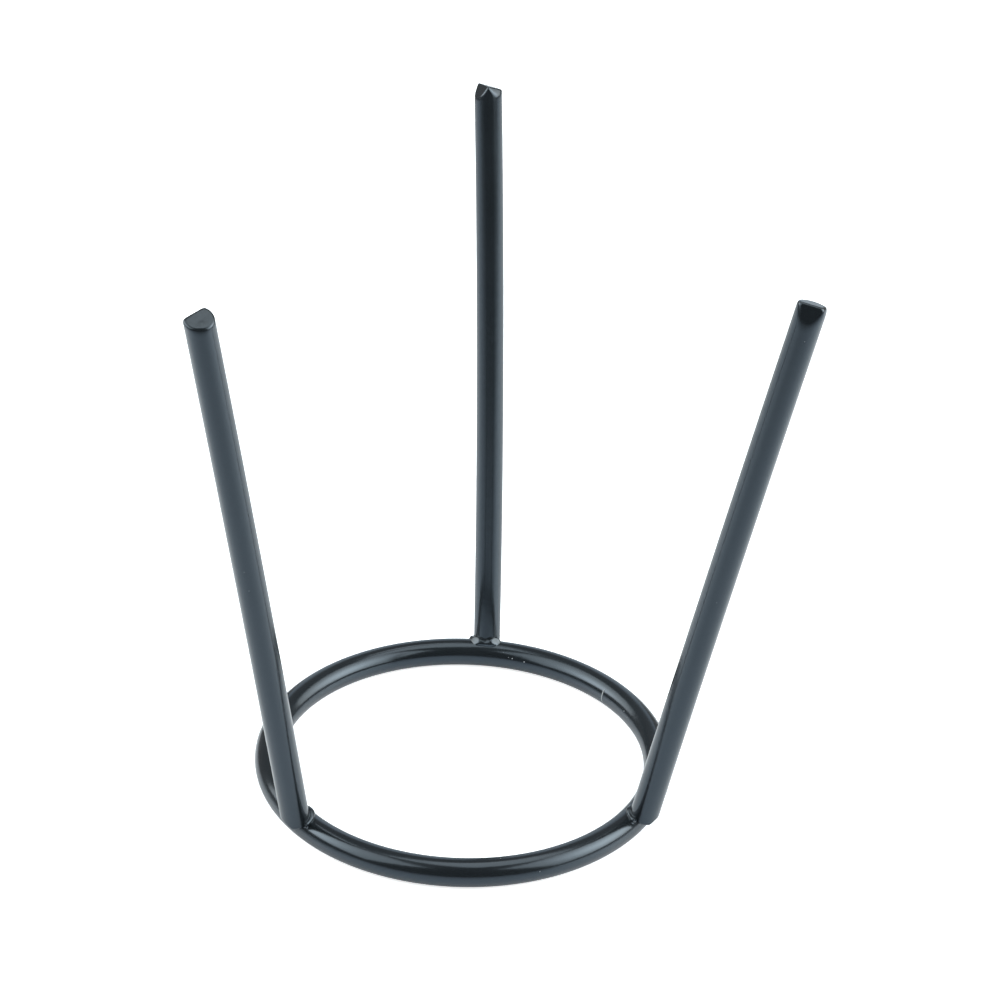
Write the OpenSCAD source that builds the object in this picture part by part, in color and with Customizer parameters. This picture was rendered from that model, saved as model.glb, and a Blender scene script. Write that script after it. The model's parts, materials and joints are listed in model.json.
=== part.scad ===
// Lab tripod stand, welded from round steel bar: one bar bent into a ring and
// three straight legs, each cropped to length at both ends.
// The stand rests on its ring, with its legs up, as it is stored and shown.
// In use it is turned over: the legs stand on the bench and the ring is on top.
// Origin: the middle of the ring, on the surface that the ring rests on. Z is up.
// The three values of a list are always those of the back, left and right leg.
// A heading is an angle about Z, counted from +X towards +Y.

/* [Ring] */
// Clear width inside the ring
ring_inner_d = 80; // [50:1:160]
// Diameter of the bar that the ring is bent from
ring_bar_d = 6; // [4:0.5:10]
// Heading of the line where the two ends of the ring's bar meet
joint_heading = 39; // [30:1:70]
// Width of that line at the surface
joint_w = 0.4; // [0.2:0.05:0.8]
// Depth of that line
joint_depth = 0.25; // [0.1:0.05:0.5]

/* [Legs] */
// Diameter of the bar that the legs are cut from
leg_bar_d = 6; // [4:0.5:10]
// Length of a leg along its axis, from its foot to its highest tip
leg_length = 130.8; // [80:0.2:220]
// Heading of each leg's foot on the ring
foot_heading = [84.5, 220, 329]; // [0:0.5:359]
// Lean of each leg from upright
leg_splay = [11.4, 10.5, 12]; // [5:0.1:20]
// Turn of each leg's lean away from straight outwards
leg_drift = [14, 4, 13]; // [-20:0.5:20]
// Distance of each foot's middle outside the ring's centre line
foot_out = 2.7; // [1.5:0.1:3.5]
// Depth to which the weld has drawn each foot into the ring
foot_sink = 0.2; // [0.1:0.05:0.6]

/* [Cropped feet] */
// Heading that each foot's cropped facet faces
foot_crop_heading = [85, 211, 333]; // [0:1:359]
// Slope of that facet from square across the bar
foot_crop_slope = [60, 60, 62]; // [40:1:70]
// Distance from the leg's axis to the edge of that facet
foot_crop_edge = [2.2, 2.1, 2.4]; // [1.5:0.1:2.8]

/* [Cropped tips] */
// Heading that the first facet of each tip faces
tip_a_heading = [205, 301, 81]; // [0:1:359]
// Slope of the first facet from square across the bar
tip_a_slope = [58, 17.5, 16.5]; // [2:0.5:68]
// Height of the first facet on the leg's axis, over the highest tip
tip_a_rise = [1.6, -1.8, -0.8]; // [-4:0.1:5]
// Heading that the second facet of each tip faces
tip_b_heading = [31, 133, 258]; // [0:1:359]
// Slope of the second facet from square across the bar
tip_b_slope = [17.5, 46, 65]; // [2:0.5:68]
// Height of the second facet on the leg's axis, over the highest tip
tip_b_rise = [-0.5, 0.3, 3]; // [-4:0.1:5]
// Heading that the third facet of each tip faces
tip_c_heading = [321, 285, 340]; // [0:1:359]
// Slope of the third facet from square across the bar
tip_c_slope = [63.5, 55, 55]; // [2:0.5:68]
// Height of the third facet on the leg's axis, over the highest tip
tip_c_rise = [4, 1, 3.5]; // [-4:0.1:5]

/* [Welds] */
// Radius of the small drops in a weld bead
drop_r = 1.35; // [0.8:0.05:1.8]
// How much larger the large drops between them are
drop_extra = 0.15; // [0:0.05:0.4]
// Number of drops in a weld bead, counting both kinds
drop_count = 5; // [3:2:9]
// Where each bead starts round its leg, from the leg's inner side
bead_start = [-80, -60, -55]; // [-100:5:-20]
// Where each bead ends round its leg, from the leg's inner side
bead_end = [40, 60, 55]; // [20:5:100]
// Distance of the drops' middles outside the leg's surface
bead_out = 0.1; // [0:0.05:0.5]

/* [Hidden] */
back = 0;
left = 1;
right = 2;
paint = "#23272c";
fine = 96;
ring_bar_r = ring_bar_d / 2;
leg_bar_r = leg_bar_d / 2;
ring_r = ring_inner_d / 2 + ring_bar_r;
// A block that is wide and high enough to cut away all that lies past a facet
cut_size = 8 * leg_bar_d;

// Height of a foot's middle over the ring's centre line: there the foot's end,
// square across the leaning leg, touches the ring's bar less the sink.
function foot_up(leg) =
    (ring_bar_r - foot_sink - foot_out * sin(leg_splay[leg]) * cos(leg_drift[leg]))
    / cos(leg_splay[leg]);

// Puts its children on a leg: Z along the leg's axis from the foot's middle,
// X as near to the stand's X as the lean allows.
module on_leg(leg) {
    rotate([0, 0, foot_heading[leg]])
        translate([ring_r + foot_out, 0, ring_bar_r + foot_up(leg)])
            rotate([0, 0, leg_drift[leg]])
                rotate([0, leg_splay[leg], 0])
                    rotate([0, 0, -foot_heading[leg] - leg_drift[leg]])
                        children();
}

// All that lies above a facet that slopes down towards its heading
module above_facet(heading, slope, height) {
    translate([0, 0, height])
        rotate([0, 0, heading])
            rotate([0, slope, 0])
                translate([-cut_size / 2, -cut_size / 2, 0])
                    cube(cut_size);
}

// All that lies below a facet that rises towards its heading
module below_facet(heading, slope, height) {
    mirror([0, 0, 1])
        above_facet(heading, slope, -height);
}

module leg_bar(leg) {
    foot_crop_rise = -foot_crop_edge[leg] * tan(foot_crop_slope[leg]);
    difference() {
        cylinder(h = leg_length, r = leg_bar_r, $fn = fine);
        below_facet(foot_crop_heading[leg], foot_crop_slope[leg], foot_crop_rise);
        above_facet(tip_a_heading[leg], tip_a_slope[leg], leg_length + tip_a_rise[leg]);
        above_facet(tip_b_heading[leg], tip_b_slope[leg], leg_length + tip_b_rise[leg]);
        above_facet(tip_c_heading[leg], tip_c_slope[leg], leg_length + tip_c_rise[leg]);
    }
}

module ring_bar() {
    translate([0, 0, ring_bar_r])
        rotate_extrude($fn = 2 * fine)
            translate([ring_r, 0])
                circle(r = ring_bar_r, $fn = fine);
}

// The shallow V all round the bar where the ring's two ends were butted
module ring_joint() {
    rotate([0, 0, joint_heading])
        translate([ring_r, 0, ring_bar_r])
            rotate([90, 0, 0])
                rotate_extrude($fn = fine)
                    translate([ring_bar_r - joint_depth, 0])
                        polygon([[0, 0], [2 * joint_depth, -joint_w], [2 * joint_depth, joint_w]]);
}

module ring() {
    color(paint)
        difference() {
            ring_bar();
            ring_joint();
        }
}

module leg(leg) {
    color(paint)
        difference() {
            on_leg(leg) leg_bar(leg);
            ring_bar();
        }
}

// A row of drops round the inner side of a leg, on the ring's crown
module bead(leg) {
    step = (bead_end[leg] - bead_start[leg]) / (drop_count - 1);
    for (i = [0 : drop_count - 1])
        rotate([0, 0, foot_heading[leg] + 180 + bead_start[leg] + i * step])
            translate([leg_bar_r + bead_out, 0, 0])
                sphere(r = drop_r + (i % 2 == 0 ? drop_extra : 0), $fn = fine);
}

module weld(leg) {
    color(paint)
        difference() {
            on_leg(leg) bead(leg);
            on_leg(leg) cylinder(h = leg_bar_d, r = leg_bar_r, $fn = fine);
            ring_bar();
        }
}

ring();
leg(back);  // leg_back
leg(left);  // leg_left
leg(right);  // leg_right
weld(back);  // weld_back
weld(left);  // weld_left
weld(right);  // weld_right
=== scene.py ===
"""Looks of a small lab tripod stand: a ring of round steel bar with three straight legs
welded to it, stoved in gloss black enamel, resting on its ring with its legs up.

Lengths in the code are metres, and those of the stand are written as a number of
millimetres times MM. A heading is an angle about Z in degrees, counted from +X towards +Y.
"""

import json
from math import cos, pi, radians, sin

import bmesh
import bpy
from mathutils import Matrix, Vector


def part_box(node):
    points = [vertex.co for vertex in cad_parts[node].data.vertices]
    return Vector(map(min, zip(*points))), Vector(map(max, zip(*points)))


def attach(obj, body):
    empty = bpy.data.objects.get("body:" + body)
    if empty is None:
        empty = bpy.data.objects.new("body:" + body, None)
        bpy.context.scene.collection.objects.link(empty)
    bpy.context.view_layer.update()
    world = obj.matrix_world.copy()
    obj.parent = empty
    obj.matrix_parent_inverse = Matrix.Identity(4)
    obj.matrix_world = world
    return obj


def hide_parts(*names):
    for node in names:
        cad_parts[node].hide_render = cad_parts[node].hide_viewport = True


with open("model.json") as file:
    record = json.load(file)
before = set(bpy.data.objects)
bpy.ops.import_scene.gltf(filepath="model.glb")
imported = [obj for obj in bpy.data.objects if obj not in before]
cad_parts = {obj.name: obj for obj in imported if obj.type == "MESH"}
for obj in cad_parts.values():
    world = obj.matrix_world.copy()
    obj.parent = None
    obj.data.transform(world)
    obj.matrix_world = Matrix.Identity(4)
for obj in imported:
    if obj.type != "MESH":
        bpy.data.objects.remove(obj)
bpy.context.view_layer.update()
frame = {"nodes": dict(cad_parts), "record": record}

MM = 0.001
SIDES = ("back", "left", "right")


# ---------------------------------------------------------------- sizes

def vertices_of(node):
    return [v.co for v in frame["nodes"][node].data.vertices]


ring_low, ring_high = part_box("ring")
RING_BAR_R = (ring_high.z - ring_low.z) / 2
RING_R = max(co.xy.length for co in vertices_of("ring")) - RING_BAR_R
LEG_BAR_R = 3 * MM
LEG_LENGTH = 130.8 * MM
# The enamel stands this far out from the steel.
COAT = 0.1 * MM

# The line across the ring where the two ends of its bar meet: the enamel bridges it on
# the outside, and leaves a fine gap on the inside.
# The gap is painted pale as a painted highlight.
JOINT_HEADING = 39.4
JOINT_HALF_WIDTH = 0.15 * MM
JOINT_DEPTH = 0.06 * MM
# How much higher one end of the bar stands than the middle of the two.
JOINT_STEP = 0.005 * MM

# The crop facets of each tip: the heading that a facet faces, its slope from square across
# the bar, and its height on the leg's axis over the leg's length, in millimetres.
TIP_FACETS = {
    "back": ((205, 58, 1.9), (31, 17.5, -0.3), (321, 58.2, 3.1)),
    "left": ((301, 17.5, -1.5), (133, 46, 0.5), (285, 55, 1.7)),
    "right": ((81, 16.5, -0.25), (258, 65, 3.3), (340, 55, 3.7)),
}
# The crop facet of each foot: the heading that it faces, its slope from square across the
# bar, and how far from the leg's axis it meets the foot's square end, in millimetres.
FOOT_FACET = {"back": (85, 60, 2.2), "left": (211, 60, 2.1), "right": (333, 62, 2.4)}
# How far the enamel rounds the rim of each tip, in millimetres: it ran thinnest on the back.
TIP_RIM = {"back": 0.6, "left": 1.05, "right": 1.1}
# How far it rounds the ridges between the facets of each tip, in millimetres.
TIP_RIDGE = {"back": 0.45, "left": 0.45, "right": 0.85}
# How far the middle of each leg is bowed off the straight line from foot to tip, and how far
# the weld's pull has left the whole leg to one side, both in millimetres along X.
BOW = {"back": 0.6, "left": 0.2, "right": -0.2}
ASIDE = {"back": -0.15, "left": 0.0, "right": 0.18}

# The middle of each weld bead stands this far out from the enamelled leg.
BEAD_OUT = 0.3 * MM
# The weld beads. In degrees round the leg, from the side that faces the ring's middle: where
# a bead starts and ends, and where one of its swells is. The number of swells that would go
# once round. In millimetres: the bead's radius, how much a swell adds, its height over the
# foot, and the size of the corner that it fills. How pale a colour is painted on the flats, as
# a painted highlight. The flats are where it sagged while it was soft: the heading and the
# elevation that a flat faces, where it is round the leg in degrees, and its distance from the
# bead's middle line in millimetres.
BEADS = {
    "back": dict(
        start=-70, end=50, swell_at=-36, swells=5.4, bead_r=1.12, swell=0.22, bead_up=0.1,
        corner=0.9, thin=0.34, flats=(
            dict(heading=224, elevation=41, round_leg=-31, off=1.0),
            dict(heading=-46, elevation=38, round_leg=30, off=1.05),
        ),
    ),
    "left": dict(
        start=-80, end=55, swell_at=-12, swells=2.7, bead_r=0.72, swell=0.28, bead_up=0.6,
        corner=1.3, thin=0.0, flats=(),
    ),
    "right": dict(
        start=-50, end=74, swell_at=20, swells=5.4, bead_r=0.56, swell=0.16, bead_up=0.35,
        corner=1.4, thin=0.0, flats=(),
    ),
}

# Grains caught in the ring's enamel: for each one its heading, its turn upwards from straight
# outwards round the bar, and its width in millimetres.
GRAINS = (
    (27, 155, 0.42), (24.2, 163, 0.36), (33, 150, 0.28), (78.5, 138, 0.3), (76.5, 156, 0.34),
    (75.2, 158, 0.42), (71, 162, 0.44), (279, 8, 0.3), (276.5, 22, 0.3),
)
# A grain's height as a share of its width.
GRAIN_HEIGHT = 0.6


def leg_place(side):
    """Where a leg stands: from its own frame, with Z up its axis from the foot, to the stand's."""
    end = next(m for m in frame["record"]["mounts"] if m["name"] == f"{side}_leg_end")
    point, axis = Vector(end["pos_m"]), Vector(end["axis"]).normalized()
    foot = min((co - point).dot(axis) for co in vertices_of(f"leg_{side}"))
    turn = Vector((0, 0, 1)).rotation_difference(axis)
    aside = Vector((ASIDE[side] * MM, 0, 0))
    return Matrix.Translation(point + foot * axis + aside) @ turn.to_matrix().to_4x4()


def direction(heading, elevation):
    """The direction of a heading and of an elevation above level, both in degrees."""
    h, e = radians(heading), radians(elevation)
    return Vector((cos(h) * cos(e), sin(h) * cos(e), sin(e)))


def tip_facet(heading, slope, rise):
    """A tip facet as its outward direction and its distance along it from the foot's middle."""
    return tuple(direction(heading, 90 - slope)), (LEG_LENGTH + rise * MM) * cos(radians(slope))


def foot_facet(heading, slope, edge):
    """A foot facet as its outward direction and its distance along it from the foot's middle."""
    return tuple(direction(heading, slope - 90)), edge * MM * sin(radians(slope))


# ---------------------------------------------------------------- node trees

MATH = "ShaderNodeMath"
VECTOR = "ShaderNodeVectorMath"
MAP_RANGE = "ShaderNodeMapRange"
MIX = "ShaderNodeMix"
NOISE = "ShaderNodeTexNoise"
SPLIT = "ShaderNodeSeparateXYZ"
COMBINE = "ShaderNodeCombineXYZ"
TURN = "ShaderNodeVectorRotate"
MOVE = "GeometryNodeSetPosition"
STORE = "GeometryNodeStoreNamedAttribute"


def add(tree, kind, inputs=(), **settings):
    """Adds a node with its settings, and fills its inputs in order or by name.

    An input takes a value, or a link from a socket or from a node's first live output.
    """
    node = tree.nodes.new(kind)
    for name, value in settings.items():
        setattr(node, name, value)
    for key, value in inputs.items() if isinstance(inputs, dict) else enumerate(inputs):
        if isinstance(value, bpy.types.Node):
            value = next(socket for socket in value.outputs if socket.enabled)
        if isinstance(value, bpy.types.NodeSocket):
            tree.links.new(value, node.inputs[key])
        else:
            node.inputs[key].default_value = value
    return node


def new_tree(name, objects=(), **sizes):
    """A Geometry Nodes tree with a named input for each size and object, and its inputs."""
    tree = bpy.data.node_groups.new(name, "GeometryNodeTree")
    kinds = {float: "Float", int: "Int", tuple: "Vector"}
    labels = {label: kinds[type(value)] for label, value in sizes.items()}
    labels |= {label: "Object" for label in objects} | {"material": "Material"}
    for label, kind in labels.items():
        socket = tree.interface.new_socket(label, in_out="INPUT", socket_type=f"NodeSocket{kind}")
        if label in sizes:
            socket.default_value = sizes[label]
    tree.interface.new_socket("result", in_out="OUTPUT", socket_type="NodeSocketGeometry")
    return tree, tree.nodes.new("NodeGroupInput").outputs


def end_tree(tree, given, geometry):
    """Ends a tree with smooth shading, real copies in place of instances, and its material."""
    smooth = add(tree, "GeometryNodeSetShadeSmooth", {"Geometry": geometry})
    real = add(tree, "GeometryNodeRealizeInstances", {"Geometry": smooth})
    painted = add(
        tree, "GeometryNodeSetMaterial", {"Geometry": real, "Material": given["material"]}
    )
    add(tree, "NodeGroupOutput", {"result": painted})


def grow(name, tree, material, place=None, **sizes):
    """Runs a tree with these sizes, and keeps what it makes as a plain mesh in its place."""
    piece = bpy.data.objects.new(name, bpy.data.meshes.new(name))
    bpy.context.scene.collection.objects.link(piece)
    shape = piece.modifiers.new("shape", "NODES")
    shape.node_group = tree
    sizes["material"] = material
    for item in tree.interface.items_tree:
        if item.in_out == "INPUT" and item.name in sizes:
            shape[item.identifier] = sizes[item.name]
    depsgraph = bpy.context.evaluated_depsgraph_get()
    mesh = bpy.data.meshes.new_from_object(piece.evaluated_get(depsgraph))
    piece.modifiers.remove(shape)
    piece.data = mesh
    mesh.name = name
    if place:
        mesh.transform(place)
    return piece


def keep(piece, *nodes):
    """Gives a finished piece its body and the CAD nodes that it stands for."""
    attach(piece, "root")
    if nodes:
        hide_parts(*nodes)
    return piece


# ---------------------------------------------------------------- the ring

def bent_bar_tree():
    """A bar bent into a ring, with its rings of points crowded at the butted ends."""
    tree, given = new_tree(
        "bent_bar",
        ring_r=43 * MM, bar_r=3 * MM, joint_heading=0.0, joint_half_width=0.1 * MM,
        joint_depth=0.1 * MM, joint_step=0.0, waver=0.01 * MM, seed=1.0,
    )
    # 1 would bring the points at the butted ends together, and 0 spaces all of them evenly.
    crowding = 0.93
    # The lift of the higher end settles over this length of bar.
    settling = 5 * MM

    circle = add(tree, "GeometryNodeCurvePrimitiveCircle", {"Resolution": 960, "Radius": 1.0})
    share = add(tree, "GeometryNodeSplineParameter").outputs["Factor"]
    turn = add(tree, MATH, (share, 2 * pi), operation="MULTIPLY")
    sine = add(tree, MATH, (turn,), operation="SINE")
    crowded = add(tree, MATH, (sine, -crowding, turn), operation="MULTIPLY_ADD")
    heading = add(tree, MATH, (crowded, given["joint_heading"]), operation="ADD")
    x = add(tree, MATH, (heading,), operation="COSINE")
    y = add(tree, MATH, (heading,), operation="SINE")
    outwards = add(tree, COMBINE, {"X": x, "Y": y})
    middle = add(tree, VECTOR, {0: outwards, "Scale": given["ring_r"]}, operation="SCALE")
    path = add(tree, MOVE, {"Geometry": circle, "Position": middle})
    section = add(
        tree, "GeometryNodeCurvePrimitiveCircle", {"Resolution": 72, "Radius": given["bar_r"]}
    )
    bar = add(tree, "GeometryNodeCurveToMesh", {"Curve": path, "Profile Curve": section})

    # The distance along the ring from the joint, from the heading of each point.
    position = add(tree, "GeometryNodeInputPosition")
    turn_back = add(tree, MATH, (given["joint_heading"], -1.0), operation="MULTIPLY")
    from_joint = add(
        tree, TURN, {"Vector": position, "Angle": turn_back}, rotation_type="Z_AXIS"
    )
    parts = add(tree, SPLIT, (from_joint,)).outputs
    angle = add(tree, MATH, (parts["Y"], parts["X"]), operation="ARCTAN2")
    along = add(tree, MATH, (angle, given["ring_r"]), operation="MULTIPLY")
    widths = add(tree, MATH, (along, given["joint_half_width"]), operation="DIVIDE")

    # The fine gap that the enamel has left on the inside of the butted ends, painted pale there as
    # a painted highlight.
    square = add(tree, MATH, (widths, widths), operation="MULTIPLY")
    minus_square = add(tree, MATH, (square, -1.0), operation="MULTIPLY")
    bell = add(tree, MATH, (minus_square,), operation="EXPONENT")
    normal = add(tree, "GeometryNodeInputNormal")
    level = add(tree, VECTOR, (position, (1.0, 1.0, 0.0)), operation="MULTIPLY")
    outward = add(tree, VECTOR, (level,), operation="NORMALIZE")
    facing_out = add(tree, VECTOR, (normal, outward), operation="DOT_PRODUCT")
    inside = add(tree, MAP_RANGE, {"Value": facing_out, "From Min": -0.72, "From Max": -0.86})
    bare = add(tree, MATH, (bell, inside), operation="MULTIPLY")
    marked = add(
        tree, STORE, {"Geometry": bar, "Name": "bare", "Value": bare},
        data_type="FLOAT", domain="POINT",
    )
    gap = add(tree, MATH, (bare, given["joint_depth"]), operation="MULTIPLY")

    # A surface that was drawn and bent wavers a little, nearly always inwards of its size.
    waves = add(
        tree, NOISE,
        {"Vector": position, "W": given["seed"], "Scale": 1 / (12 * MM), "Detail": 2.0},
        noise_dimensions="4D",
    )
    ripple = add(tree, MATH, (waves, 1.0), operation="SUBTRACT")
    wavering = add(tree, MATH, (ripple, given["waver"]), operation="MULTIPLY")
    depth = add(tree, MATH, (wavering, gap), operation="SUBTRACT")
    moved = add(tree, VECTOR, {0: normal, "Scale": depth}, operation="SCALE")

    # One end of the bar stands a hair higher than the other.
    edge = add(tree, MATH, (widths,), operation="TANH")
    away = add(tree, MATH, (along,), operation="ABSOLUTE")
    fading = add(tree, MATH, (away, -1 / settling), operation="MULTIPLY")
    faded = add(tree, MATH, (fading,), operation="EXPONENT")
    side = add(tree, MATH, (edge, faded), operation="MULTIPLY")
    lift = add(tree, MATH, (side, given["joint_step"]), operation="MULTIPLY")
    raised = add(tree, COMBINE, {"Z": lift})
    offset = add(tree, VECTOR, (moved, raised), operation="ADD")
    end_tree(tree, given, add(tree, MOVE, {"Geometry": marked, "Offset": offset}))
    return tree


def make_ring(enamel):
    ring = grow(
        "ring_bar", bent_bar_tree(), enamel,
        Matrix.Translation((0, 0, RING_BAR_R + COAT)),
        ring_r=RING_R, bar_r=RING_BAR_R + COAT, joint_heading=radians(JOINT_HEADING),
        joint_half_width=JOINT_HALF_WIDTH, joint_depth=JOINT_DEPTH, joint_step=JOINT_STEP,
        waver=0.03 * MM, seed=2.0,
    )
    return keep(ring, "ring")


# ---------------------------------------------------------------- the legs

def cropped_bar_tree():
    """A straight bar whose ends are cropped by facets, with its edges rounded by enamel.

    The points of a plain cylinder start on the bar's axis and walk outwards, each along its
    own line and each time by its distance from the finished surface, until they reach it.
    """
    tree, given = new_tree(
        "cropped_bar",
        bar_r=3 * MM, length=130 * MM, rim=0.5 * MM, ridge=0.3 * MM,
        tip_a=(0.0, 0.0, 1.0), tip_a_reach=0.0, tip_b=(0.0, 0.0, 1.0), tip_b_reach=0.0,
        tip_c=(0.0, 0.0, 1.0), tip_c_reach=0.0, foot=(0.0, 0.0, -1.0), foot_reach=0.0,
        bow=(0.0, 0.0, 0.0), waver=0.01 * MM, tear=0.02 * MM, seed=1.0,
    )
    # The lowest point starts this far over the foot, and the highest this far below the tip.
    over_foot, below_tip = 5 * MM, 7 * MM
    # How far the enamel rounds the foot's ridge and its rim.
    foot_ridge, foot_rim = 0.15 * MM, 0.25 * MM
    steps = 26

    blank = add(
        tree, "GeometryNodeMeshCylinder",
        {"Vertices": 120, "Side Segments": 120, "Fill Segments": 64, "Radius": 1.0, "Depth": 1.0},
        fill_type="TRIANGLE_FAN",
    )
    position = add(tree, "GeometryNodeInputPosition")
    level = add(tree, VECTOR, (position, (1.0, 1.0, 0.0)), operation="MULTIPLY")
    out = add(tree, VECTOR, (level,), operation="LENGTH")
    height = add(tree, SPLIT, (position,)).outputs["Z"]

    # Each point's line: square to the axis on the wall, and fanned out over each end.
    bent = add(tree, MATH, (out, 1.5), operation="POWER")
    fan = add(tree, MATH, (bent, pi / 2), operation="MULTIPLY")
    sine = add(tree, MATH, (fan,), operation="SINE")
    stretch = add(tree, MATH, (sine, out), operation="DIVIDE")
    sideways = add(tree, VECTOR, {0: level, "Scale": stretch}, operation="SCALE")
    cosine = add(tree, MATH, (fan,), operation="COSINE")
    end = add(tree, MATH, (height,), operation="SIGN")
    upwards = add(tree, COMBINE, {"Z": add(tree, MATH, (cosine, end), operation="MULTIPLY")})
    line = add(tree, VECTOR, (sideways, upwards), operation="ADD")
    aimed = add(
        tree, STORE, {"Geometry": blank, "Name": "line", "Value": line},
        data_type="FLOAT_VECTOR", domain="POINT",
    )
    share = add(tree, MATH, (height, 0.5), operation="ADD")
    span = add(tree, MATH, (given["length"], over_foot + below_tip), operation="SUBTRACT")
    start = add(tree, MATH, (span, share, over_foot), operation="MULTIPLY_ADD")
    on_axis = add(
        tree, MOVE, {"Geometry": aimed, "Position": add(tree, COMBINE, {"Z": start})}
    )

    # The distance from the finished surface: the greatest of those from the wall, the foot's
    # square end and the facets, with its edges rounded.
    wall = add(tree, MATH, (out, given["bar_r"]), operation="SUBTRACT")
    beyond = {}
    for facet in ("tip_a", "tip_b", "tip_c", "foot"):
        along = add(tree, VECTOR, (position, given[facet]), operation="DOT_PRODUCT")
        beyond[facet] = add(tree, MATH, (along, given[f"{facet}_reach"]), operation="SUBTRACT")
    below = add(tree, MATH, (height, -1.0), operation="MULTIPLY")
    two = add(
        tree, MATH, (beyond["tip_a"], beyond["tip_b"], given["ridge"]), operation="SMOOTH_MAX"
    )
    tip = add(tree, MATH, (two, beyond["tip_c"], given["ridge"]), operation="SMOOTH_MAX")
    foot = add(tree, MATH, (below, beyond["foot"], foot_ridge), operation="SMOOTH_MAX")
    footed = add(tree, MATH, (wall, foot, foot_rim), operation="SMOOTH_MAX")
    distance = add(tree, MATH, (footed, tip, given["rim"]), operation="SMOOTH_MAX")
    own_line = add(
        tree, "GeometryNodeInputNamedAttribute", {"Name": "line"}, data_type="FLOAT_VECTOR"
    )
    back = add(tree, MATH, (distance, -1.0), operation="MULTIPLY")
    step = add(tree, VECTOR, {0: own_line, "Scale": back}, operation="SCALE")
    walk = tree.nodes.new("GeometryNodeRepeatInput")
    arrive = tree.nodes.new("GeometryNodeRepeatOutput")
    walk.pair_with_output(arrive)
    walk.inputs["Iterations"].default_value = steps
    tree.links.new(on_axis.outputs[0], walk.inputs["Geometry"])
    stepped = add(tree, MOVE, {"Geometry": walk.outputs["Geometry"], "Offset": step})
    tree.links.new(stepped.outputs[0], arrive.inputs["Geometry"])

    # Cropping tears the steel a little, and drawing leaves the wall slightly uneven.
    within = add(
        tree, MAP_RANGE, {"Value": wall, "From Min": -0.1 * MM, "From Max": -0.9 * MM}
    )
    rough = add(
        tree, NOISE,
        {"Vector": position, "W": given["seed"], "Scale": 1 / (3 * MM), "Detail": 1.6},
        noise_dimensions="4D",
    )
    torn = add(tree, MATH, (rough, 0.6), operation="SUBTRACT")
    tears = add(tree, MATH, (torn, given["tear"]), operation="MULTIPLY")
    tears_within = add(tree, MATH, (tears, within), operation="MULTIPLY")
    drawn = add(tree, VECTOR, (position, (1.0, 1.0, 0.25)), operation="MULTIPLY")
    waves = add(
        tree, NOISE,
        {"Vector": drawn, "W": given["seed"], "Scale": 1 / (6 * MM), "Detail": 2.0},
        noise_dimensions="4D",
    )
    ripple = add(tree, MATH, (waves, 1.0), operation="SUBTRACT")
    uneven = add(tree, MATH, (ripple, given["waver"], tears_within), operation="MULTIPLY_ADD")
    normal = add(tree, "GeometryNodeInputNormal")
    roughened = add(tree, VECTOR, {0: normal, "Scale": uneven}, operation="SCALE")

    # The bow is none at the foot and at the tip, and all of it in the middle.
    up_leg = add(tree, MATH, (height, given["length"]), operation="DIVIDE")
    down_leg = add(tree, MATH, (1.0, up_leg), operation="SUBTRACT")
    arch = add(tree, MATH, (up_leg, down_leg), operation="MULTIPLY")
    full_arch = add(tree, MATH, (arch, 4.0), operation="MULTIPLY")
    bowed = add(tree, VECTOR, {0: given["bow"], "Scale": full_arch}, operation="SCALE")
    offset = add(tree, VECTOR, (roughened, bowed), operation="ADD")
    shaped = add(tree, MOVE, {"Geometry": arrive.outputs["Geometry"], "Offset": offset})
    plain = add(tree, "GeometryNodeRemoveAttribute", {"Geometry": shaped, "Name": "line"})
    end_tree(tree, given, plain)
    return tree


def make_legs(enamel):
    tree = cropped_bar_tree()
    legs = []
    for number, side in enumerate(SIDES):
        facets = {}
        for letter, facet in zip("abc", TIP_FACETS[side]):
            facets[f"tip_{letter}"], facets[f"tip_{letter}_reach"] = tip_facet(*facet)
        facets["foot"], facets["foot_reach"] = foot_facet(*FOOT_FACET[side])
        leg = grow(
            f"leg_bar_{side}", tree, enamel, leg_place(side),
            bar_r=LEG_BAR_R + COAT, length=LEG_LENGTH, rim=TIP_RIM[side] * MM,
            ridge=TIP_RIDGE[side] * MM, bow=(BOW[side] * MM, 0.0, 0.0),
            waver=0.03 * MM, tear=0.12 * MM, seed=10.0 + number, **facets,
        )
        legs.append(keep(leg, f"leg_{side}"))
    return legs


# ---------------------------------------------------------------- the welds

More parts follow.
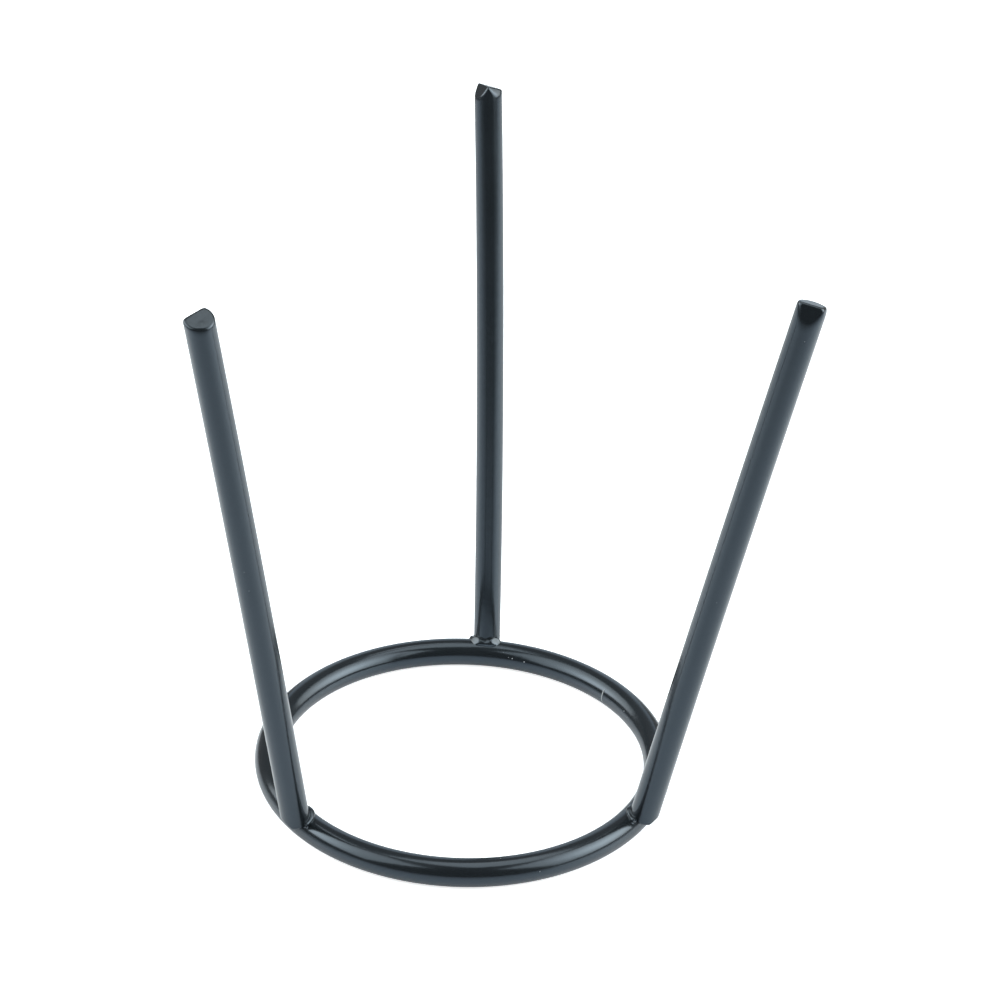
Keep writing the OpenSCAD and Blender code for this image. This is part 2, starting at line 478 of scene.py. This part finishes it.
def weld_bead_tree():
    """A bead of weld metal laid round a leg's foot, run together with both bars.

    It is worked out as distances from the bars and the bead's arc, in the leg's own frame,
    and kept where it stands out of the bars. A flat that isn't given is a metre away, and
    cuts nothing.
    """
    tree, given = new_tree(
        "weld_bead",
        ring_r=43 * MM, ring_bar_r=3 * MM, leg_bar_r=3 * MM,
        ring_shift=(0.0, 0.0, 0.0), ring_turn=(0.0, 0.0, 0.0),
        foot_facet=(0.0, 0.0, -1.0), foot_facet_reach=0.0,
        bead_r=1.0 * MM, bead_out=0.3 * MM, bead_up=0.3 * MM, start=0.0, sweep=1.0,
        swell_at=0.0, swells=5.0, swell=0.2 * MM, fill=1.2 * MM,
        flat_a=(0.0, 0.0, 1.0), flat_a_reach=1.0, flat_b=(0.0, 0.0, 1.0), flat_b_reach=1.0,
        thin=0.0, run=0.5 * MM, corner=1.0 * MM, lumps=0.1 * MM, seed=1.0,
    )
    # Half the width of the block of space that is worked out, and the size of its cells.
    half, cell = 5.6 * MM, 0.07 * MM
    # How uneven a flat is, how far its edge is rounded, and how wide the painted highlight's pale
    # colour fades in at its edge.
    flat_uneven, flat_round, flat_edge = 0.25 * MM, 0.35 * MM, 0.1 * MM
    # Metal that stands out of the bars by less than the first isn't kept, and what is kept
    # is rooted in them by the second.
    thinnest, root = 0.05 * MM, 0.12 * MM
    # How fast the filled corner thins out past the bead.
    fade = 0.5

    arc_r = add(tree, MATH, (given["leg_bar_r"], given["bead_out"]), operation="ADD")
    arc = add(
        tree, "GeometryNodeCurveArc",
        {"Resolution": 40, "Radius": arc_r, "Start Angle": given["start"],
         "Sweep Angle": given["sweep"]},
    )
    lift = add(tree, COMBINE, {"Z": given["bead_up"]})
    raised = add(tree, "GeometryNodeTransform", {"Geometry": arc, "Translation": lift})
    wire = add(tree, "GeometryNodeCurveToMesh", {"Curve": raised})

    # The distance from the leg.
    position = add(tree, "GeometryNodeInputPosition")
    level = add(tree, VECTOR, (position, (1.0, 1.0, 0.0)), operation="MULTIPLY")
    out = add(tree, VECTOR, (level,), operation="LENGTH")
    wall = add(tree, MATH, (out, given["leg_bar_r"]), operation="SUBTRACT")
    height = add(tree, SPLIT, (position,)).outputs["Z"]
    below = add(tree, MATH, (height, -1.0), operation="MULTIPLY")
    square_end = add(tree, MATH, (wall, below), operation="MAXIMUM")
    facing = add(tree, VECTOR, (position, given["foot_facet"]), operation="DOT_PRODUCT")
    facet = add(tree, MATH, (facing, given["foot_facet_reach"]), operation="SUBTRACT")
    leg = add(tree, MATH, (square_end, facet), operation="MAXIMUM")

    # The distance from the ring.
    turned = add(
        tree, TURN, {"Vector": position, "Rotation": given["ring_turn"]},
        rotation_type="EULER_XYZ",
    )
    in_ring = add(tree, VECTOR, (turned, given["ring_shift"]), operation="ADD")
    ring_level = add(tree, VECTOR, (in_ring, (1.0, 1.0, 0.0)), operation="MULTIPLY")
    ring_out = add(tree, VECTOR, (ring_level,), operation="LENGTH")
    from_line = add(tree, MATH, (ring_out, given["ring_r"]), operation="SUBTRACT")
    ring_height = add(tree, SPLIT, (in_ring,)).outputs["Z"]
    section = add(tree, COMBINE, {"X": from_line, "Y": ring_height})
    from_middle = add(tree, VECTOR, (section,), operation="LENGTH")
    ring = add(tree, MATH, (from_middle, given["ring_bar_r"]), operation="SUBTRACT")

    # The distance from the bead: its arc, with its swells, its lumps and its flats.
    nearest = add(
        tree, "GeometryNodeProximity", {"Geometry": wire}, target_element="EDGES"
    ).outputs["Distance"]
    swell_back = add(tree, MATH, (given["swell_at"], -1.0), operation="MULTIPLY")
    from_swell = add(
        tree, TURN, {"Vector": position, "Angle": swell_back}, rotation_type="Z_AXIS"
    )
    parts = add(tree, SPLIT, (from_swell,)).outputs
    angle = add(tree, MATH, (parts["Y"], parts["X"]), operation="ARCTAN2")
    swell_turn = add(tree, MATH, (angle, given["swells"]), operation="MULTIPLY")
    wave = add(tree, MATH, (swell_turn,), operation="COSINE")
    swollen = add(tree, MATH, (wave, given["swell"], given["bead_r"]), operation="MULTIPLY_ADD")
    lumpy = add(
        tree, NOISE,
        {"Vector": position, "W": given["seed"], "Scale": 1 / (1.7 * MM), "Detail": 1.0},
        noise_dimensions="4D",
    )
    lump = add(tree, MATH, (lumpy, 0.5), operation="SUBTRACT")
    thick = add(tree, MATH, (lump, given["lumps"], swollen), operation="MULTIPLY_ADD")
    bead = add(tree, MATH, (nearest, thick), operation="SUBTRACT")
    # How far a point is past the flat that it is most past, from a start far below both.
    highest = -1.0
    for flat in ("flat_a", "flat_b"):
        along = add(tree, VECTOR, (position, given[flat]), operation="DOT_PRODUCT")
        over = add(tree, MATH, (along, given[f"{flat}_reach"]), operation="SUBTRACT")
        uneven = add(tree, MATH, (lump, flat_uneven, over), operation="MULTIPLY_ADD")
        bead = add(tree, MATH, (bead, uneven, flat_round), operation="SMOOTH_MAX")
        highest = add(tree, MATH, (uneven, highest), operation="MAXIMUM")

    # The metal fills the corner between the bars near the bead, and fades out past it.
    corner = add(tree, MATH, (leg, ring, given["corner"]), operation="SMOOTH_MIN")
    off_bead = add(tree, MATH, (bead, given["fill"]), operation="SUBTRACT")
    past = add(tree, MATH, (off_bead, 0.0), operation="MAXIMUM")
    joined = add(tree, MATH, (corner, bead, given["run"]), operation="SMOOTH_MIN")
    thinned = add(tree, MATH, (past, fade, joined), operation="MULTIPLY_ADD")
    skin = add(tree, MATH, (thinned, thinnest), operation="ADD")
    bars = add(tree, MATH, (leg, ring), operation="MINIMUM")
    over_root = add(tree, MATH, (bars, root), operation="ADD")
    rooted = add(tree, MATH, (over_root, -1.0), operation="MULTIPLY")
    metal = add(tree, MATH, (skin, rooted), operation="MAXIMUM")

    # A cloud whose density is the depth in the metal, in millimetres, and its surface.
    depth = add(tree, MATH, (metal, -1 / MM), operation="MULTIPLY")
    cloud = add(
        tree, "GeometryNodeVolumeCube",
        {
            "Density": depth, "Background": -1.0,
            "Min": (-half, -half, -half / 2), "Max": (half, half, half / 2),
            "Resolution X": round(2 * half / cell), "Resolution Y": round(2 * half / cell),
            "Resolution Z": round(half / cell),
        },
    )
    surface = add(
        tree, "GeometryNodeVolumeToMesh",
        {"Volume": cloud, "Threshold": 0.0, "Adaptivity": 0.0}, resolution_mode="GRID",
    )

    # The flats are painted pale, by thin, as a painted highlight.
    flat_highlight_share = add(
        tree, MAP_RANGE,
        {"Value": highest, "From Min": -flat_edge, "From Max": 0.0, "To Max": given["thin"]},
    )
    marked = add(
        tree, STORE, {"Geometry": surface, "Name": "bare", "Value": flat_highlight_share},
        data_type="FLOAT", domain="POINT",
    )
    end_tree(tree, given, marked)
    return tree


def bead_flat(flat, inner, bead_up):
    """A bead's flat as its outward direction and its distance along it from the foot's middle."""
    towards = direction(flat["heading"], flat["elevation"])
    at = inner + radians(flat["round_leg"])
    arc_r = LEG_BAR_R + COAT + BEAD_OUT
    middle = Vector((arc_r * cos(at), arc_r * sin(at), bead_up))
    return tuple(towards), middle.dot(towards) + flat["off"] * MM


def make_welds(enamel):
    tree = weld_bead_tree()
    for number, side in enumerate(SIDES):
        bead, place = BEADS[side], leg_place(side)
        foot = place.to_translation()
        # The heading of the leg's side that faces the ring's middle, in radians.
        inner = Vector((1, 0)).angle_signed(Vector((-foot.x, -foot.y))) * -1
        bead_up, corner = bead["bead_up"] * MM, bead["corner"] * MM
        facing, reach = foot_facet(*FOOT_FACET[side])
        flats = {}
        for letter, flat in zip("ab", bead["flats"]):
            towards, off = bead_flat(flat, inner, bead_up)
            flats |= {f"flat_{letter}": towards, f"flat_{letter}_reach": off}
        weld = grow(
            f"weld_bead_{side}", tree, enamel, place,
            ring_r=RING_R, ring_bar_r=RING_BAR_R + COAT, leg_bar_r=LEG_BAR_R + COAT,
            ring_shift=tuple(foot - Vector((0, 0, RING_BAR_R + COAT))),
            ring_turn=tuple(place.to_euler("XYZ")),
            foot_facet=facing, foot_facet_reach=reach,
            bead_r=bead["bead_r"] * MM, bead_out=BEAD_OUT, bead_up=bead_up,
            start=inner + radians(bead["start"]), sweep=radians(bead["end"] - bead["start"]),
            swell_at=inner + radians(bead["swell_at"]), swells=bead["swells"],
            swell=bead["swell"] * MM, run=0.35 * MM, corner=corner, fill=0.7 * corner,
            lumps=0.2 * MM, thin=bead["thin"], seed=3.0 + number, **flats,
        )
        keep(weld, f"weld_{side}")


# ---------------------------------------------------------------- dust under the enamel

def nibs_tree(bars):
    """Specks of dust that the enamel has covered: low domes in loose swarms on the bars, with a
    pale colour painted on them as a painted highlight.
    """
    tree, given = new_tree(
        "dust_nibs", bars, size=0.3 * MM, spacing=2 * MM, density=4000.0, thin=0.0, seed=1
    )
    joined = add(tree, "GeometryNodeJoinGeometry")
    for bar in bars:
        shape = add(tree, "GeometryNodeObjectInfo", {"Object": given[bar]})
        tree.links.new(shape.outputs["Geometry"], joined.inputs[0])
    position = add(tree, "GeometryNodeInputPosition")
    drifts = add(
        tree, NOISE, {"Vector": position, "W": 4.0, "Scale": 1 / (11 * MM), "Detail": 2.0},
        noise_dimensions="4D",
    )
    swarm = add(tree, MAP_RANGE, {"Value": drifts, "From Min": 0.5, "From Max": 0.62})
    points = add(
        tree, "GeometryNodeDistributePointsOnFaces",
        {"Mesh": joined, "Distance Min": given["spacing"],
         "Density Max": given["density"], "Density Factor": swarm, "Seed": given["seed"]},
        distribute_method="POISSON",
    ).outputs
    dome = add(tree, "GeometryNodeMeshIcoSphere", {"Radius": 0.5, "Subdivisions": 2})
    chosen = add(
        tree, "FunctionNodeRandomValue", {"Min": 0.5, "Max": 1.2, "Seed": given["seed"]},
        data_type="FLOAT",
    )
    width = add(tree, MATH, (chosen, given["size"]), operation="MULTIPLY")
    low = add(tree, VECTOR, {0: (1.0, 1.0, 0.45), "Scale": width}, operation="SCALE")
    set_down = add(
        tree, "GeometryNodeInstanceOnPoints",
        {"Points": points["Points"], "Instance": dome, "Rotation": points["Rotation"],
         "Scale": low},
    )
    real = add(tree, "GeometryNodeRealizeInstances", {"Geometry": set_down})
    # The pale colour stored here is a painted highlight on the real domes.
    marked = add(
        tree, STORE, {"Geometry": real, "Name": "bare", "Value": given["thin"]},
        data_type="FLOAT", domain="POINT",
    )
    end_tree(tree, given, marked)
    return tree


def make_nibs(enamel, bars):
    named = {f"bar_{number}": bar for number, bar in enumerate(bars)}
    # The nibs are painted a little pale, as a painted highlight.
    nibs = grow(
        "dust_nibs", nibs_tree(list(named)), enamel,
        size=0.24 * MM, spacing=1.5 * MM, density=9000.0, thin=0.3, seed=5, **named,
    )
    keep(nibs)


def make_grains(enamel):
    """The larger grains: low domes that stand half out of the ring, under the enamel, with a pale
    colour painted on them as a painted highlight.
    """
    # How pale the grains are painted, as a painted highlight.
    thin = 0.6
    form = bmesh.new()
    for heading, turn_up, width in GRAINS:
        out = direction(heading, turn_up)
        line = direction(heading, 0) * RING_R + Vector((0, 0, RING_BAR_R + COAT))
        place = Matrix.Translation(line + out * RING_BAR_R)
        turn = out.to_track_quat("Z", "Y").to_matrix().to_4x4()
        low = Matrix.Diagonal((width * MM, width * MM, GRAIN_HEIGHT * width * MM, 1))
        bmesh.ops.create_icosphere(form, subdivisions=2, radius=0.5, matrix=place @ turn @ low)
    mesh = bpy.data.meshes.new("caught_grains")
    form.to_mesh(mesh)
    form.free()
    mesh.polygons.foreach_set("use_smooth", [True] * len(mesh.polygons))
    bare = mesh.attributes.new("bare", "FLOAT", "POINT")
    bare.data.foreach_set("value", [thin] * len(mesh.vertices))
    mesh.materials.append(enamel)
    grains = bpy.data.objects.new("caught_grains", mesh)
    bpy.context.scene.collection.objects.link(grains)
    keep(grains)


# ---------------------------------------------------------------- the finish

def linear(hex_colour):
    """An sRGB hex colour as linear red, green, blue and alpha."""
    parts = [int(hex_colour[i : i + 2], 16) / 255 for i in (0, 2, 4)]
    return (*(c / 12.92 if c <= 0.04045 else ((c + 0.055) / 1.055) ** 2.4 for c in parts), 1)


def new_material(name):
    """A material with an empty tree of nodes, and that tree."""
    material = bpy.data.materials.new(name)
    material.use_nodes = True
    material.node_tree.nodes.clear()
    return material, material.node_tree


def black_stoving_enamel():
    """Black stoving enamel, dipped and baked on steel bar.

    It gives deep black with mirror-like reflections that are cool at square view, a slight
    orange peel with a wave of about 1.6 mm, and a gloss that drifts a little along the bar.
    Where the attribute bare is set, a pale grey with more roughness is painted in as a painted
    highlight.
    """
    material, tree = new_material("black_stoving_enamel_dipped")
    where = add(tree, "ShaderNodeTexCoord").outputs["Object"]
    drift = add(
        tree, NOISE, {"Vector": where, "W": 0.0, "Scale": 1 / (14 * MM), "Detail": 3.0},
        noise_dimensions="4D",
    )
    colour = add(
        tree, MIX, {"Factor": drift, "A": linear("0f1316"), "B": linear("15191c")},
        data_type="RGBA",
    )
    gloss = add(
        tree, MAP_RANGE,
        {"Value": drift, "From Min": 0.3, "From Max": 0.7, "To Min": 0.14, "To Max": 0.2},
    )
    # A painted highlight: a pale grey, with more roughness, is mixed in where bare is set.
    bare = add(
        tree, "ShaderNodeAttribute", attribute_type="GEOMETRY", attribute_name="bare"
    ).outputs["Fac"]
    pale_highlight_colour = add(
        tree, MIX, {"Factor": bare, "A": colour, "B": linear("92979b")}, data_type="RGBA"
    )
    pale_highlight_gloss = add(tree, MATH, (bare, 0.4, gloss), operation="MULTIPLY_ADD")
    peel = add(
        tree, NOISE, {"Vector": where, "W": 1.0, "Scale": 1 / (1.6 * MM), "Detail": 2.5},
        noise_dimensions="4D",
    )
    bump = add(
        tree, "ShaderNodeBump", {"Strength": 1.0, "Distance": 0.016 * MM, "Height": peel}
    )
    paint = add(
        tree, "ShaderNodeBsdfPrincipled",
        {
            "Base Color": pale_highlight_colour, "Roughness": pale_highlight_gloss, "Normal": bump,
            "IOR": 1.58, "Specular Tint": linear("d3e9ff"),
        },
    )
    add(tree, "ShaderNodeOutputMaterial", {"Surface": paint})
    return material


# ---------------------------------------------------------------- the studio

# The point that the panels face: a third of the way up the stand.
AIM = Vector((0, 0, 40 * MM))


def flat_sheet(name, width, height, material):
    """A flat rectangle with its middle at the origin, facing up."""
    x, y = width / 2, height / 2
    mesh = bpy.data.meshes.new(name)
    mesh.from_pydata([(-x, -y, 0), (x, -y, 0), (x, y, 0), (-x, y, 0)], [], [(0, 1, 2, 3)])
    mesh.materials.append(material)
    sheet = bpy.data.objects.new(name, mesh)
    bpy.context.scene.collection.objects.link(sheet)
    return sheet


def panel(
    name, heading, elevation, distance, size, glow,
    core=0.0, core_at=(0, 0), core_r=0.25, colour="fffef7",
):
    """A lit cloth panel that faces the stand, brighter round its lamp. The camera doesn't see it.
    """
    material, tree = new_material(f"{name}_cloth")
    where = add(tree, "ShaderNodeTexCoord").outputs["Object"]
    off = add(tree, VECTOR, (where, (*core_at, 0)), operation="DISTANCE")
    spread = add(tree, MATH, (off, core_r), operation="DIVIDE")
    square = add(tree, MATH, (spread, spread), operation="MULTIPLY")
    minus_square = add(tree, MATH, (square, -1), operation="MULTIPLY")
    fall = add(tree, MATH, (minus_square,), operation="EXPONENT")
    strength = add(tree, MATH, (fall, core, glow), operation="MULTIPLY_ADD")
    light = add(tree, "ShaderNodeEmission", {"Color": linear(colour), "Strength": strength})
    add(tree, "ShaderNodeOutputMaterial", {"Surface": light})
    cloth = flat_sheet(name, *size, material)
    out = direction(heading, elevation)
    turn = out.to_track_quat("Z", "Y").to_matrix().to_4x4()
    cloth.matrix_world = Matrix.Translation(AIM + out * distance) @ turn
    cloth.visible_camera = False


def make_floor():
    """A white laminate top: white to the camera, and to gloss a lit white sheet whose own
    gloss shows the dim room at a low angle. To gloss it is painted darker towards the camera, as
    painted shade."""
    material, tree = new_material("white_laminate_top")
    path = add(tree, "ShaderNodeLightPath").outputs
    to_gloss = add(
        tree, MATH, (path["Is Glossy Ray"], path["Is Transmission Ray"]), operation="MAXIMUM"
    )
    faint = add(tree, MATH, (to_gloss, 0.2), operation="MULTIPLY")
    glow = add(tree, MATH, (path["Is Camera Ray"], 0.75, faint), operation="MULTIPLY_ADD")
    light = add(tree, "ShaderNodeEmission", {"Strength": glow})
    where = add(tree, "ShaderNodeTexCoord").outputs["Object"]
    # Painted shade: for every ray but the camera's, the floor's colour darkens from the stand
    # towards the camera.
    nearness = add(
        tree, MAP_RANGE,
        {"Value": add(tree, SPLIT, (where,)).outputs["Y"], "From Min": -0.5, "From Max": 0.05},
        interpolation_type="SMOOTHSTEP",
    )
    lightness = add(tree, MATH, (nearness, path["Is Camera Ray"]), operation="MAXIMUM")
    tint = add(
        tree, MIX, {"Factor": lightness, "A": linear("a0a5aa"), "B": linear("dde5ee")},
        data_type="RGBA",
    )
    sheet = add(tree, "ShaderNodeBsdfDiffuse", {"Color": tint})
    both = add(tree, "ShaderNodeAddShader", (light, sheet))
    gloss = add(tree, "ShaderNodeBsdfGlossy", {"Roughness": 0.15})
    share = add(tree, "ShaderNodeFresnel", {"IOR": 1.5})
    unseen = add(tree, MATH, (1.0, path["Is Camera Ray"]), operation="SUBTRACT")
    gloss_share = add(tree, MATH, (share, unseen), operation="MULTIPLY")
    top = add(tree, "ShaderNodeMixShader", (gloss_share, both, gloss))
    add(tree, "ShaderNodeOutputMaterial", {"Surface": top})
    flat_sheet("floor", 8, 8, material)


def make_world():
    """White behind the object, and for gloss a dim room that is darkest behind the camera."""
    world = bpy.data.worlds.new("studio")
    bpy.context.scene.world = world
    world.use_nodes = True
    tree = world.node_tree
    tree.nodes.clear()
    path = add(tree, "ShaderNodeLightPath").outputs
    where = add(tree, "ShaderNodeTexCoord").outputs["Generated"]
    room = add(
        tree, MAP_RANGE,
        {"Value": add(tree, SPLIT, (where,)).outputs["Y"], "From Min": -0.85, "From Max": 0.1,
         "To Min": 0.128, "To Max": 0.272},
        interpolation_type="SMOOTHSTEP",
    )
    strength = add(
        tree, MIX, {"Factor": path["Is Camera Ray"], "A": room, "B": 1.0}, data_type="FLOAT"
    )
    sky = add(tree, "ShaderNodeBackground", {"Color": (1, 1, 1, 1), "Strength": strength})
    add(tree, "ShaderNodeOutputWorld", {"Surface": sky})


def make_studio():
    """Two softboxes at the sides and one above, and a pale wall behind the stand."""
    make_floor()
    make_world()
    panel(
        "softbox_left", heading=187, elevation=41, distance=1.0, size=(1.55, 1.02),
        glow=2.6, core=4.8, core_at=(-0.1, -0.24), core_r=0.36,
    )
    panel(
        "softbox_right", heading=-7.5, elevation=34, distance=1.0, size=(1.55, 1.12),
        glow=2.4, core=6.0, core_at=(0.02, -0.1), core_r=0.42,
    )
    panel("softbox_top", heading=42, elevation=81, distance=0.9, size=(0.58, 0.62), glow=2.6)
    panel(
        "far_wall", heading=90, elevation=14, distance=1.6, size=(0.95, 0.95),
        glow=1.1, colour="dcebf7",
    )


def make_camera():
    """A long lens that looks down on the stand from the front, about 2 degrees off level."""
    elevation, distance, roll = radians(29.839), 707.65 * MM, radians(1.959)
    aside, above = 8.21 * MM, 59.42 * MM
    back = Vector((0, -cos(elevation), sin(elevation)))
    level, upright = Vector((1, 0, 0)), Vector((0, sin(elevation), cos(elevation)))
    right = cos(roll) * level + sin(roll) * upright
    up = cos(roll) * upright - sin(roll) * level
    data = bpy.data.cameras.new("camera")
    data.sensor_width, data.lens = 36, 114.75
    camera = bpy.data.objects.new("camera", data)
    bpy.context.scene.collection.objects.link(camera)
    turn = Matrix((right, up, back)).transposed().to_4x4()
    camera.matrix_world = Matrix.Translation(distance * back + aside * right + above * up) @ turn
    bpy.context.scene.camera = camera


# ---------------------------------------------------------------- the scene

enamel = black_stoving_enamel()
make_camera()
ring = make_ring(enamel)
legs = make_legs(enamel)
make_welds(enamel)
make_nibs(enamel, [ring, *legs])
make_grains(enamel)
make_studio()
bpy.context.scene.view_settings.view_transform = "Standard"
